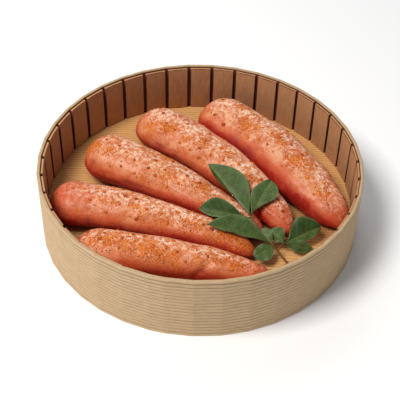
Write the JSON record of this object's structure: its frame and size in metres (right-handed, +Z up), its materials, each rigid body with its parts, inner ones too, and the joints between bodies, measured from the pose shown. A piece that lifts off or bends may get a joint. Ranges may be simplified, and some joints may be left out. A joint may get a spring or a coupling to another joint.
{
  "type": "tray of seasoned cod roe",
  "caption": "Round ribbed kraft-board tray with seasoned whole cod roe sacs lying side by side and a sprig of green leaves on top.",
  "frame": {"origin": "bottom centre of the round tray, on the surface it stands on", "axes": "+Z up, out of the tray's open top; the roe sacs' fat ends lie towards -X and the viewer in front looks along +Y"},
  "size_m": [0.1949, 0.1948, 0.045],
  "materials": {
    "kraft_board": "ribbed pale brown kraft board, matt",
    "floor_board": "golden tan board with fine parallel ribs, matt",
    "roe_skin": "moist translucent salmon-pink membrane with orange-red chili flakes",
    "leaf_green": "smooth waxy green leaves on an olive-brown stem"
  },
  "bodies": {
    "root": {"tray_wall": "kraft_board", "tray_floor": "floor_board", "roe_1": "roe_skin", "roe_2": "roe_skin", "roe_3": "roe_skin", "roe_4": "roe_skin", "roe_5": "roe_skin", "sprig": "leaf_green"}
  },
  "joints": []
}
